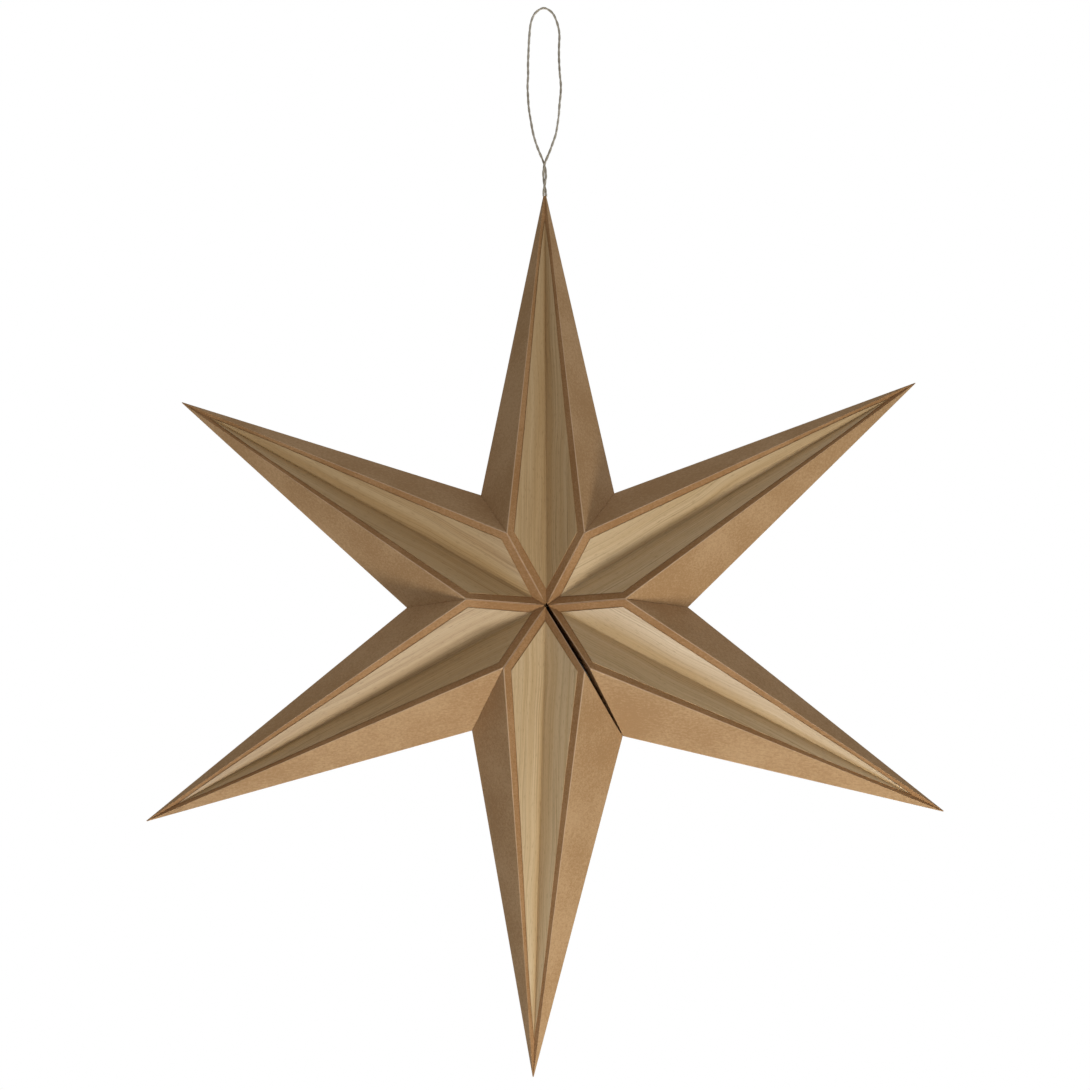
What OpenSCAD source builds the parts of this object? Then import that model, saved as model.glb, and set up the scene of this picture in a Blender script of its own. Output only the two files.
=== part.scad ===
// Six-pointed star of folded kraft card, with wood veneer in the valley of every point
// and a loop of twine at the top tip to hang it by. Millimetres.
// The star hangs upright in the XZ plane with its front towards -Y.
// The origin is where the loop bears on a hook, and +Z is up.

/* [Star] */
// Distance from the centre to the tip of a point
tip_radius = 225; // [160:1:300]
// Distance from the centre to the notch between two points
notch_radius = 71.5; // [55:0.5:95]
// Distance from the centre to the node where the ridges of two points part
ridge_radius = 39; // [28:0.5:52]
// Height of the ridge nodes over the middle plane
ridge_height = 27; // [19:0.5:40]
// Height of the valleys over the middle plane at the centre
valley_height = 14; // [9:0.5:20]

/* [Card] */
// Thickness of the folded card
card_t = 0.4; // [0.25:0.05:0.8]
// Thickness of the glue under the veneers and the magnets
glue_t = 0.03; // [0.01:0.01:0.1]
// Width of the slit that stays open between the two inner edges of a point
mouth_gap = 0.3; // [0.1:0.1:1]
// Length that the blunt end of a tip falls short of a sharp one
tip_blunt = 1; // [0.5:0.1:3]
// The same length on the top tip, whose end carries the twine
tip_seat = 4; // [3:0.1:6]

/* [Veneer] */
// Thickness of the veneer
veneer_t = 0.4; // [0.2:0.05:0.8]
// Width of the bare card between the veneer and the ridges
border_w = 4.3; // [2.5:0.1:7]
// Distance from the end of the veneer to the tip of its point
veneer_tip_gap = 19; // [12:0.5:40]

/* [Closing seam] */
// Thickness of each of the two magnets that hold the seam shut
magnet_t = 0.6; // [0.4:0.1:1.5]
// Diameter of the magnets
magnet_d = 12; // [6:0.5:18]
// Distance from the centre of the star to the middle of the magnets
magnet_radius = 36; // [24:0.5:48]

/* [Loop] */
// Diameter of the twine
twine_d = 1.2; // [0.8:0.1:1.3]

/* [Hidden] */

card_color = "#a97c4d";
veneer_color = "#c3a577";
magnet_color = "#6f7173";
twine_color = "#9c8d70";

// Points are counted clockwise from the top, as seen from the front.
POINTS = ["top", "upper_right", "lower_right", "bottom", "lower_left", "upper_left"];
POINT_COUNT = len(POINTS);
function counted(point_name) = search([point_name], POINTS)[0];
TOP = counted("top");
UPPER_RIGHT = counted("upper_right");
LOWER_RIGHT = counted("lower_right");
BOTTOM = counted("bottom");
LOWER_LEFT = counted("lower_left");
UPPER_LEFT = counted("upper_left");

// Heights over the middle plane count towards the front.
facing = [0, -1, 0];
FRONT = norm(facing);
BACK = -FRONT;

// The star is opened by hand, so no point or panel stands quite evenly.
// Turn of each tip from its even place, in degrees anticlockwise
tip_turns = [0, 1.5, 2.2, -2, -2.4, -0.5];
// Reach of each tip
tip_radius_shares = [1.016, 1.002, 0.978, 1.011, 1.004, 0.987];
// Turn of the panels that follow each point clockwise
panel_turns = [0, 0.5, 0.2, -1.9, -1.5, -0.8];
// Reach of the notch in the same place
notch_radius_shares = [0.98, 1, 1.05, 1.005, 1, 0.97];

point_step = 360 / POINT_COUNT;
top_angle = 90;
// The seam lies between the lower right point and the bottom one.
SEAM = LOWER_RIGHT;
seam_gap = 2 * (magnet_t + glue_t);
// Radius of the small well at the centre, where the inner edges of the cards meet
hub_radius = (2 * card_t / cos(point_step / 2) + mouth_gap) / (2 * sin(point_step / 2));
// Length of closed card behind a blunt end, as a multiple of where two cards would fill the tip
tip_fill_share = 2;
tip_fill = tip_fill_share * card_t * tip_radius / valley_height;
// Right half of the twine's route, from the tip up to the hook: two strands wind round each
// other and then part to a long oval.
twine_half_route = [
    [0.7, 0, -110], [0.5, 0.5, -107], [0, 0.7, -104], [-0.5, 0.5, -101], [-0.7, 0, -98],
    [-0.5, -0.5, -95], [0, -0.7, -92], [1, -0.5, -89], [2.4, -0.2, -85.5], [4, 0, -81],
    [5.7, 0, -75], [7, 0, -68], [7.9, 0, -60], [8.4, 0, -51], [8.6, 0, -42], [8.6, 0, -33],
    [8.5, 0, -24], [8.1, 0, -15], [7, 0, -8], [4.7, 0, -2.4]];
loop_rise = -twine_half_route[0][2];
top_tip_radius = tip_radius * tip_radius_shares[TOP];
centre = [0, 0, -(loop_rise + top_tip_radius - tip_seat)];
magnet_sides = 48;
twine_sides = 8;

// Planes are written as [outward unit normal, distance from the origin].
function unit(v) = v / norm(v);
function plane_through(p, q, r, inside) =
    let (n = unit(cross(q - p, r - p)), turned = n * (inside - p) > 0 ? -n : n)
    [turned, turned * p];
function moved_out(plane, by) = [plane[0], plane[1] + by];
function meet(a, b, c) =
    (a[1] * cross(b[0], c[0]) + b[1] * cross(c[0], a[0]) + c[1] * cross(a[0], b[0]))
    / (a[0] * cross(b[0], c[0]));
function reversed(list) = [for (i = [len(list) - 1 : -1 : 0]) list[i]];
function toward(angle) = [cos(angle), 0, sin(angle)];
function across(angle) = [-sin(angle), 0, cos(angle)];

// Layout of one point: side 0 is its clockwise panel, and side 1 the other one.
function panel_of(point, side) = (point - side + POINT_COUNT) % POINT_COUNT;
function panel_angle(panel) = top_angle - (panel + 1 / 2) * point_step + panel_turns[panel];
function tip_angle(point) = top_angle - point * point_step + tip_turns[point];
function seam_shift(point, side) =
    panel_of(point, side) == SEAM ? (1 - 2 * side) * seam_gap / 2 * across(panel_angle(SEAM)) : [0, 0, 0];
function on_panel(point, side, radius, height) =
    centre + radius * toward(panel_angle(panel_of(point, side)))
    + height * facing + seam_shift(point, side);
function inner_edge(point, side, face) = on_panel(point, side, hub_radius, face * valley_height);
function ridge_node(point, side, face) = on_panel(point, side, ridge_radius, face * ridge_height);
function notch(point, side) =
    on_panel(point, side, notch_radius * notch_radius_shares[panel_of(point, side)], 0);
function tip(point) = centre + tip_radius * tip_radius_shares[point] * toward(tip_angle(point));
function middle(point) = centre + ridge_radius * toward(tip_angle(point));
function tip_cut(point) = point == TOP ? tip_seat : tip_blunt;

// Faces of one point, each moved out by a length, or in where the length is negative
function mouth_plane(point) =
    plane_through(inner_edge(point, 0, FRONT), inner_edge(point, 0, BACK),
                  inner_edge(point, 1, FRONT), middle(point));
function end_plane(point, short) =
    let (outwards = toward(tip_angle(point))) [outwards, outwards * tip(point) - short];
function panel_plane(point, side, by) =
    moved_out(plane_through(ridge_node(point, side, FRONT), ridge_node(point, side, BACK),
                            notch(point, side), middle(point)), by);
function wall_plane(point, side, face, by) =
    moved_out(plane_through(ridge_node(point, side, face), notch(point, side),
                            tip(point), middle(point)), by);
function valley_plane(point, side, face, by) =
    moved_out(plane_through(inner_edge(point, side, face), ridge_node(point, side, face),
                            tip(point), middle(point)), by);
function on_crease(point, face, by, plane) =
    meet(valley_plane(point, 0, face, by), valley_plane(point, 1, face, by), plane);
function on_ridge(point, side, face, by, plane) =
    meet(valley_plane(point, side, face, by), wall_plane(point, side, face, by), plane);
function on_edge(point, side, by, plane) =
    meet(wall_plane(point, side, FRONT, by), wall_plane(point, side, BACK, by), plane);

// Corners of one side of the card: the crease starts, the inner edges, the ridge nodes and the
// notches, and then the ends of the creases, ridges and outer edges, short of the tip
function card_corners(point, by, short) = [
    for (face = [FRONT, BACK]) on_crease(point, face, by, mouth_plane(point)),
    for (side = [0, 1], face = [FRONT, BACK])
        meet(panel_plane(point, side, by), valley_plane(point, side, face, by), mouth_plane(point)),
    for (side = [0, 1], face = [FRONT, BACK])
        on_ridge(point, side, face, by, panel_plane(point, side, by)),
    for (side = [0, 1]) on_edge(point, side, by, panel_plane(point, side, by)),
    for (face = [FRONT, BACK]) on_crease(point, face, by, end_plane(point, short)),
    for (side = [0, 1], face = [FRONT, BACK])
        on_ridge(point, side, face, by, end_plane(point, short)),
    for (side = [0, 1]) on_edge(point, side, by, end_plane(point, short))];

// The valleys, walls and panels of a card, its blunt end and its open mouth, by their corners
CARD_FACES = [[0, 12, 14, 6, 2], [0, 4, 8, 16, 12], [1, 3, 7, 15, 13], [1, 13, 17, 9, 5],
              [6, 14, 18, 10], [8, 11, 19, 16], [7, 10, 18, 15], [9, 17, 19, 11],
              [2, 6, 10, 7, 3], [4, 5, 9, 11, 8], [12, 16, 19, 17, 13, 15, 18, 14]];
MOUTH = [0, 2, 3, 1, 5, 4];

// One point of the star: a card folded to a hollow spike with a valley front and back
module folded_point(point) {
    outer = card_corners(point, 0, tip_cut(point));
    inner = card_corners(point, -card_t, tip_cut(point) + tip_fill);
    count = len(outer);
    inner_faces = [for (face = CARD_FACES) reversed([for (i = face) i + count])];
    rim = [for (i = [0 : len(MOUTH) - 1])
        let (a = MOUTH[i], b = MOUTH[(i + 1) % len(MOUTH)]) [a, b, b + count, a + count]];
    color(card_color)
        polyhedron(concat(outer, inner), concat(CARD_FACES, inner_faces, rim));
}

// Corner of the veneer near a ridge node, a border's width from both ridges
function veneer_corner(point, side, face) =
    let (peak = ridge_node(point, side, face),
         inwards = unit(inner_edge(point, side, face) - peak), outwards = unit(tip(point) - peak))
    peak + border_w * (inwards + outwards) / norm(cross(inwards, outwards));
function crease_start(point, face) = on_crease(point, face, 0, mouth_plane(point));
function crease_way(point, face) = unit(tip(point) - crease_start(point, face));
// Distance along the crease from its start to the veneer, a border's width from both ridges
function veneer_setback(point, face) =
    let (slants = [for (side = [0, 1])
             let (ridge = unit(ridge_node(point, side, face) - inner_edge(point, side, face)))
             norm(cross(crease_way(point, face), ridge))])
    2 * border_w / (slants[0] + slants[1]);
// Corners of one side of the veneer: its two ends on the crease and its two corners at the ridges
function veneer_corners(point, face, by) =
    let (way = crease_way(point, face),
         near = crease_start(point, face) + veneer_setback(point, face) * way,
         far = tip(point) - veneer_tip_gap * way)
    concat([for (spot = [near, far]) on_crease(point, face, by, [way, way * spot])],
           [for (side = [0, 1])
               veneer_corner(point, side, face) + by * valley_plane(point, side, face, 0)[0]]);

// Two halves under and over, and a narrow edge all round
VENEER_FACES = [[4, 5, 6], [4, 7, 5], [0, 2, 1], [0, 1, 3],
                [4, 6, 2], [4, 2, 0], [6, 5, 1], [6, 1, 2],
                [7, 4, 0], [7, 0, 3], [5, 7, 3], [5, 3, 1]];

// One piece of veneer, folded along the crease of the valley that it lines
module valley_veneer(point, face) {
    faces = face == FRONT ? VENEER_FACES : [for (f = VENEER_FACES) reversed(f)];
    color(veneer_color)
        polyhedron(concat(veneer_corners(point, face, glue_t),
                          veneer_corners(point, face, glue_t + veneer_t)), faces);
}

// One of the two magnets, glued to an end panel and meeting the other in the middle of the seam
module closing_magnet(below) {
    color(magnet_color)
        translate(centre + magnet_radius * toward(panel_angle(SEAM)))
            rotate([0, -panel_angle(SEAM), 0])
                translate([0, 0, -below])
                    cylinder(h = magnet_t, d = magnet_d, $fn = magnet_sides);
}

// The whole route, and a smooth curve through it: its points and the spots halfway between them
twine_route = concat(twine_half_route, [[0, 0, twine_d / 2]],
                     [for (p = reversed(twine_half_route)) [-p[0], -p[1], p[2]]]);
// How far each spot halfway leans on its two nearest points, and on the next two
near_share = 9 / 16;
next_share = -1 / 16;
function route_at(i) = twine_route[max(0, min(len(twine_route) - 1, i))];
function halfway(i) =
    near_share * (route_at(i) + route_at(i + 1)) + next_share * (route_at(i - 1) + route_at(i + 2));
twine_path = [for (i = [0 : len(twine_route) - 1], half = [0, 1])
    if (half == 0) route_at(i) else if (i < len(twine_route) - 1) halfway(i)];
function path_at(i) = twine_path[max(0, min(len(twine_path) - 1, i))];
// The rings at the two ends lie flat on the end of the tip.
function path_way(i) =
    i == 0 ? [0, 0, 1] : i == len(twine_path) - 1 ? [0, 0, -1] : unit(path_at(i + 1) - path_at(i - 1));
function twine_ring(i) =
    let (way = path_way(i), right = unit(cross(way, facing)), up = cross(right, way))
    [for (k = [0 : twine_sides - 1])
        let (turn = 360 * k / twine_sides)
        path_at(i) + twine_d / 2 * (cos(turn) * right + sin(turn) * up)];

// The loop of twine
module hanging_loop() {
    rings = len(twine_path);
    corners = [for (i = [0 : rings - 1]) each twine_ring(i)];
    skin = [for (i = [0 : rings - 2], k = [0 : twine_sides - 1])
        let (a = i * twine_sides + k, b = i * twine_sides + (k + 1) % twine_sides)
        [a, b, b + twine_sides, a + twine_sides]];
    first_end = [for (k = [twine_sides - 1 : -1 : 0]) k];
    last_end = [for (k = [0 : twine_sides - 1]) (rings - 1) * twine_sides + k];
    color(twine_color)
        polyhedron(corners, concat(skin, [first_end, last_end]));
}

folded_point(TOP);  // point_top
folded_point(UPPER_RIGHT);  // point_upper_right
folded_point(LOWER_RIGHT);  // point_lower_right
folded_point(BOTTOM);  // point_bottom
folded_point(LOWER_LEFT);  // point_lower_left
folded_point(UPPER_LEFT);  // point_upper_left
valley_veneer(TOP, FRONT);  // veneer_front_top
valley_veneer(UPPER_RIGHT, FRONT);  // veneer_front_upper_right
valley_veneer(LOWER_RIGHT, FRONT);  // veneer_front_lower_right
valley_veneer(BOTTOM, FRONT);  // veneer_front_bottom
valley_veneer(LOWER_LEFT, FRONT);  // veneer_front_lower_left
valley_veneer(UPPER_LEFT, FRONT);  // veneer_front_upper_left
valley_veneer(TOP, BACK);  // veneer_back_top
valley_veneer(UPPER_RIGHT, BACK);  // veneer_back_upper_right
valley_veneer(LOWER_RIGHT, BACK);  // veneer_back_lower_right
valley_veneer(BOTTOM, BACK);  // veneer_back_bottom
valley_veneer(LOWER_LEFT, BACK);  // veneer_back_lower_left
valley_veneer(UPPER_LEFT, BACK);  // veneer_back_upper_left
closing_magnet(0);  // closing_magnet_upper
closing_magnet(magnet_t);  // closing_magnet_lower
hanging_loop();
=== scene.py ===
"""A hanging star of folded kraft card with wood veneer in its valleys and a loop of twine.

Sizes of the star are written in millimetres, as in the part's source, and every mesh is made in metres
in the frame of the part: +Z is up, the front faces -Y, and the origin is where the loop bears on a hook.
"""

import logging
import math
from dataclasses import dataclass
from enum import Enum
from typing import Any

import bmesh
import bpy
import numpy as np
from mathutils import Matrix, Vector, noise


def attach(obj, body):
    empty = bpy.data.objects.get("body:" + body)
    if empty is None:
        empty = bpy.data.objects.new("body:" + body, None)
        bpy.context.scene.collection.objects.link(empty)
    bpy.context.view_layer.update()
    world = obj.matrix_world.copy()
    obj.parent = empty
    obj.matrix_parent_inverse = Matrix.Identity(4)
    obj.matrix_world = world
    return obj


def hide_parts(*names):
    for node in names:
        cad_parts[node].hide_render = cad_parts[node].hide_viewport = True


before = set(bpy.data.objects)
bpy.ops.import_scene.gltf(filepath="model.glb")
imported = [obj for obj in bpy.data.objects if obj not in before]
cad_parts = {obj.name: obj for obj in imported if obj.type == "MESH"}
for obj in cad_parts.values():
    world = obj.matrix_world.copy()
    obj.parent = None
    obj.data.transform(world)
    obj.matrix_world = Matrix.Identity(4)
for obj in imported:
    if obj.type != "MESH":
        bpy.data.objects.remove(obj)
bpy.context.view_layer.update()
LOG = logging.getLogger("card_star")
MM = 0.001
SHARP_DEGREES = 42
WHITE = (1.0, 1.0, 1.0, 1.0)
CURVE_STEPS = (0.0, 0.25, 0.5, 0.75, 1.0)

Spot = np.ndarray
Plane = tuple[np.ndarray, float]
Colour = tuple[float, float, float, float]


class Ray(Enum):
    """The points of the star, counted clockwise from the top as seen from the front."""

    TOP = 0
    UPPER_RIGHT = 1
    LOWER_RIGHT = 2
    BOTTOM = 3
    LOWER_LEFT = 4
    UPPER_LEFT = 5


class Face(Enum):
    """The two broad sides of the star."""

    FRONT = 1
    BACK = -1


# How much of the honey tone the veneers of each point take.
VENEER_TONES = {Ray.TOP: 0.72, Ray.UPPER_RIGHT: 0.38, Ray.LOWER_RIGHT: 0.4,
                Ray.BOTTOM: 0.12, Ray.LOWER_LEFT: 0.75, Ray.UPPER_LEFT: 0.8}


def linear(hex_colour: str) -> Colour:
    """Turns an sRGB hex colour into linear light.

    Args:
        hex_colour: Six hex digits after a hash sign.

    Returns:
        Red, green, blue and an alpha of one.
    """
    parts = [int(hex_colour[i:i + 2], 16) / 255 for i in (1, 3, 5)]
    light = [p / 12.92 if p <= 0.04045 else ((p + 0.055) / 1.055) ** 2.4 for p in parts]
    return (light[0], light[1], light[2], 1.0)


def set_inputs(tree: bpy.types.NodeTree, node: bpy.types.Node, inputs: dict[str | int, Any]) -> None:
    """Sets inputs of a node.

    Args:
        tree: The tree that holds the node.
        node: The node.
        inputs: Values or output sockets for its inputs, by name or number.
    """
    for key, value in inputs.items():
        if isinstance(value, bpy.types.NodeSocket):
            tree.links.new(value, node.inputs[key])
        else:
            node.inputs[key].default_value = value


def add_node(tree: bpy.types.NodeTree, kind: str, settings: dict[str, Any] | None = None,
             inputs: dict[str | int, Any] | None = None) -> bpy.types.Node:
    """Adds a node with its settings and its inputs.

    Args:
        tree: The tree that gets the node.
        kind: Blender's name of the node type.
        settings: Properties to set on the node.
        inputs: Values or output sockets for its inputs, by name or number.

    Returns:
        The new node.
    """
    made = tree.nodes.new(kind)
    for name, value in (settings or {}).items():
        setattr(made, name, value)
    set_inputs(tree, made, inputs or {})
    return made


def new_finish(name: str) -> tuple[bpy.types.Material, bpy.types.NodeTree, bpy.types.Node]:
    """Starts a finish.

    Args:
        name: Name of the material.

    Returns:
        The material, its tree and the shader in it.
    """
    made = bpy.data.materials.new(name)
    made.use_nodes = True
    return made, made.node_tree, made.node_tree.nodes["Principled BSDF"]


def add_object(name: str, data: bpy.types.ID) -> bpy.types.Object:
    """Puts a mesh, camera or lamp into the scene.

    Args:
        name: Name of the object.
        data: What the object shows.

    Returns:
        The new object, at the origin.
    """
    made = bpy.data.objects.new(name, data)
    bpy.context.scene.collection.objects.link(made)
    return made


def mesh_object(name: str, shape: bmesh.types.BMesh, material: bpy.types.Material) -> bpy.types.Object:
    """Turns a finished shape into a smooth object with one material.

    Args:
        name: Name of the piece.
        shape: The shape, in metres. It is freed.
        material: The finish of the piece.

    Returns:
        The new object, at the origin.
    """
    mesh = bpy.data.meshes.new(name)
    shape.to_mesh(mesh)
    shape.free()
    mesh.shade_smooth()
    mesh.set_sharp_from_angle(angle=math.radians(SHARP_DEGREES))
    mesh.materials.append(material)
    return add_object(name, mesh)


def unit(v: Spot) -> Spot:
    """Returns the vector at length one."""
    return v / np.linalg.norm(v)


def rounded(first: Spot, corner: Spot, last: Spot, t: float) -> Spot:
    """Returns a spot on the curve that rounds a corner, at a share of its run."""
    return (1 - t) ** 2 * first + 2 * t * (1 - t) * corner + t ** 2 * last


def wear_across(t: float) -> float:
    """Returns how worn a rounded fold is at a share of its curve, most in its middle."""
    return 1 - abs(2 * t - 1) ** 3


def plane_through(p: Spot, q: Spot, r: Spot, inside: Spot, by: float = 0.0) -> Plane:
    """Makes a plane through three spots, facing away from a fourth.

    Args:
        p: First spot on the plane.
        q: Second spot on the plane.
        r: Third spot on the plane.
        inside: A spot behind the plane.
        by: How far the plane is then moved out.

    Returns:
        The outward unit normal and the plane's distance from the origin.
    """
    n = unit(np.cross(q - p, r - p))
    n = -n if n @ (inside - p) > 0 else n
    return n, float(n @ p) + by


def meet(a: Plane, b: Plane, c: Plane) -> Spot:
    """Returns the spot that three planes share."""
    return np.linalg.solve(np.array([a[0], b[0], c[0]]), np.array([a[1], b[1], c[1]]))


@dataclass(frozen=True)
class StarFolds:
    """Where the folds of the star lie, from the same sizes as the part's source, in millimetres."""

    tip_radius: float = 225.0
    notch_radius: float = 71.5
    ridge_radius: float = 39.0
    ridge_height: float = 27.0
    valley_height: float = 14.0
    card_t: float = 0.4
    glue_t: float = 0.03
    mouth_gap: float = 0.3
    tip_blunt: float = 1.0
    tip_seat: float = 4.0
    tip_fill_share: float = 2.0
    veneer_t: float = 0.4
    border_w: float = 4.3
    veneer_tip_gap: float = 19.0
    magnet_t: float = 0.6
    loop_rise: float = 110.0
    tip_turns: tuple[float, ...] = (0, 1.5, 2.2, -2, -2.4, -0.5)
    tip_radius_shares: tuple[float, ...] = (1.016, 1.002, 0.978, 1.011, 1.004, 0.987)
    panel_turns: tuple[float, ...] = (0, 0.5, 0.2, -1.9, -1.5, -0.8)
    notch_radius_shares: tuple[float, ...] = (0.98, 1, 1.05, 1.005, 1, 0.97)
    seam: int = Ray.LOWER_RIGHT.value

    @property
    def centre(self) -> Spot:
        """Returns the middle of the star."""
        reach = self.tip_radius * self.tip_radius_shares[Ray.TOP.value]
        return np.array([0.0, 0.0, -(self.loop_rise + reach - self.tip_seat)])

    @property
    def hub_radius(self) -> float:
        """Returns the radius of the small well where the inner edges of the cards meet."""
        return 2 * self.card_t / math.cos(math.radians(30)) + self.mouth_gap

    @staticmethod
    def toward(angle: float) -> Spot:
        """Returns the direction in the star's plane at an angle in degrees."""
        return np.array([math.cos(math.radians(angle)), 0.0, math.sin(math.radians(angle))])

    def panel_of(self, ray: Ray, side: int) -> int:
        """Returns the number of the glued panel on one side of a point."""
        return (ray.value - side) % len(Ray)

    def panel_angle(self, panel: int) -> float:
        """Returns the direction of a panel, in degrees."""
        return 90 - (panel + 0.5) * 60 + self.panel_turns[panel]

    def tip_angle(self, ray: Ray) -> float:
        """Returns the direction of a tip, in degrees."""
        return 90 - ray.value * 60 + self.tip_turns[ray.value]

    def on_panel(self, ray: Ray, side: int, radius: float, height: float) -> Spot:
        """Finds a spot on the outside of a panel.

        Args:
            ray: The point of the star.
            side: 0 for its clockwise panel, and 1 for the other one.
            radius: Distance from the middle of the star.
            height: Height over the middle plane, towards the front.

        Returns:
            The spot, shifted from the seam where the panel is at the seam.
        """
        panel = self.panel_of(ray, side)
        angle = self.panel_angle(panel)
        shift = np.zeros(3)
        if panel == self.seam:
            shift = (1 - 2 * side) * (self.magnet_t + self.glue_t) * self.toward(angle + 90)
        return self.centre + radius * self.toward(angle) + np.array([0.0, -height, 0.0]) + shift

    def inner_edge(self, ray: Ray, side: int, face: Face) -> Spot:
        """Returns where a ridge starts at the hub."""
        return self.on_panel(ray, side, self.hub_radius, face.value * self.valley_height)

    def ridge_node(self, ray: Ray, side: int, face: Face) -> Spot:
        """Returns where the ridges of two neighbouring points part."""
        return self.on_panel(ray, side, self.ridge_radius, face.value * self.ridge_height)

    def notch(self, ray: Ray, side: int) -> Spot:
        """Returns the outer end of a panel."""
        share = self.notch_radius_shares[self.panel_of(ray, side)]
        return self.on_panel(ray, side, self.notch_radius * share, 0.0)

    def panel_corners(self, ray: Ray, side: int) -> list[Spot]:
        """Returns the corners of a panel, from its front inner edge over the notch to its back one."""
        return [self.inner_edge(ray, side, Face.FRONT), self.ridge_node(ray, side, Face.FRONT),
                self.notch(ray, side),
                self.ridge_node(ray, side, Face.BACK), self.inner_edge(ray, side, Face.BACK)]

    def tip(self, ray: Ray) -> Spot:
        """Returns the sharp tip that the folds of a point run to."""
        reach = self.tip_radius * self.tip_radius_shares[ray.value]
        return self.centre + reach * self.toward(self.tip_angle(ray))

    def middle(self, ray: Ray) -> Spot:
        """Returns a spot inside a point."""
        return self.centre + self.ridge_radius * self.toward(self.tip_angle(ray))

    def tip_cut(self, ray: Ray) -> float:
        """Returns how far the blunt end falls short of the sharp tip."""
        return self.tip_seat if ray is Ray.TOP else self.tip_blunt

    def end_plane(self, ray: Ray, short: float) -> Plane:
        """Returns the plane across a point at a distance before its tip."""
        outwards = self.toward(self.tip_angle(ray))
        return outwards, float(outwards @ self.tip(ray)) - short

    def mouth_plane(self, ray: Ray) -> Plane:
        """Returns the plane of a card's open inner end."""
        return plane_through(self.inner_edge(ray, 0, Face.FRONT), self.inner_edge(ray, 0, Face.BACK),
                             self.inner_edge(ray, 1, Face.FRONT), self.middle(ray))

    def panel_plane(self, ray: Ray, side: int, by: float) -> Plane:
        """Returns a glued panel's plane, moved out by a length."""
        front, back = (self.ridge_node(ray, side, face) for face in Face)
        return plane_through(front, back, self.notch(ray, side), self.middle(ray), by)

    def wall_plane(self, ray: Ray, side: int, face: Face, by: float) -> Plane:
        """Returns an outer wall's plane, moved out by a length."""
        return plane_through(self.ridge_node(ray, side, face), self.notch(ray, side),
                             self.tip(ray), self.middle(ray), by)

    def valley_plane(self, ray: Ray, side: int, face: Face, by: float) -> Plane:
        """Returns the plane of one half of a valley, moved out by a length."""
        return plane_through(self.inner_edge(ray, side, face), self.ridge_node(ray, side, face),
                             self.tip(ray), self.middle(ray), by)

    def on_crease(self, ray: Ray, face: Face, by: float, plane: Plane) -> Spot:
        """Returns where the crease of a valley crosses a plane."""
        return meet(self.valley_plane(ray, 0, face, by), self.valley_plane(ray, 1, face, by), plane)

    def on_ridge(self, ray: Ray, side: int, face: Face, by: float, plane: Plane) -> Spot:
        """Returns where a ridge crosses a plane."""
        return meet(self.valley_plane(ray, side, face, by), self.wall_plane(ray, side, face, by), plane)

    def on_outer_edge(self, ray: Ray, side: int, by: float, plane: Plane) -> Spot:
        """Returns where an outer edge crosses a plane."""
        front, back = (self.wall_plane(ray, side, face, by) for face in Face)
        return meet(front, back, plane)

    def inner_corners(self, ray: Ray) -> list[Spot]:
        """Finds the corners of the inside of a card.

        Args:
            ray: The point of the star.

        Returns:
            The crease starts, inner edges, ridge nodes and notches, and then the ends of the
            creases, ridges and outer edges behind the tip.
        """
        by = -self.card_t
        fill = self.tip_fill_share * self.card_t * self.tip_radius / self.valley_height
        end = self.end_plane(ray, self.tip_cut(ray) + fill)
        mouth = self.mouth_plane(ray)
        panels = [self.panel_plane(ray, side, by) for side in (0, 1)]
        pairs = [(side, face) for side in (0, 1) for face in Face]
        return [*(self.on_crease(ray, f, by, mouth) for f in Face),
                *(meet(panels[s], self.valley_plane(ray, s, f, by), mouth) for s, f in pairs),
                *(self.on_ridge(ray, s, f, by, panels[s]) for s, f in pairs),
                *(self.on_outer_edge(ray, s, by, panels[s]) for s in (0, 1)),
                *(self.on_crease(ray, f, by, end) for f in Face),
                *(self.on_ridge(ray, s, f, by, end) for s, f in pairs),
                *(self.on_outer_edge(ray, s, by, end) for s in (0, 1))]

    def veneer_corners(self, ray: Ray, face: Face, by: float) -> tuple[Spot, Spot, Spot, Spot]:
        """Finds the corners of one side of a veneer.

        Args:
            ray: The point of the star.
            face: Front or back.
            by: Height over the card.

        Returns:
            The end near the hub, the end near the tip, and the corners by the two ridges.
        """
        tip = self.tip(ray)
        start = self.on_crease(ray, face, 0.0, self.mouth_plane(ray))
        way = unit(tip - start)
        slants, corners = [], []
        for side in (0, 1):
            edge, peak = self.inner_edge(ray, side, face), self.ridge_node(ray, side, face)
            slants.append(np.linalg.norm(np.cross(way, unit(peak - edge))))
            inwards, outwards = unit(edge - peak), unit(tip - peak)
            opening = np.linalg.norm(np.cross(inwards, outwards))
            corner = peak + self.border_w * (inwards + outwards) / opening
            corners.append(corner + by * self.valley_plane(ray, side, face, 0.0)[0])
        near = start + 2 * self.border_w / sum(slants) * way
        far = tip - self.veneer_tip_gap * way
        ends = [self.on_crease(ray, face, by, (way, float(way @ spot))) for spot in (near, far)]
        return ends[0], ends[1], corners[0], corners[1]


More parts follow.
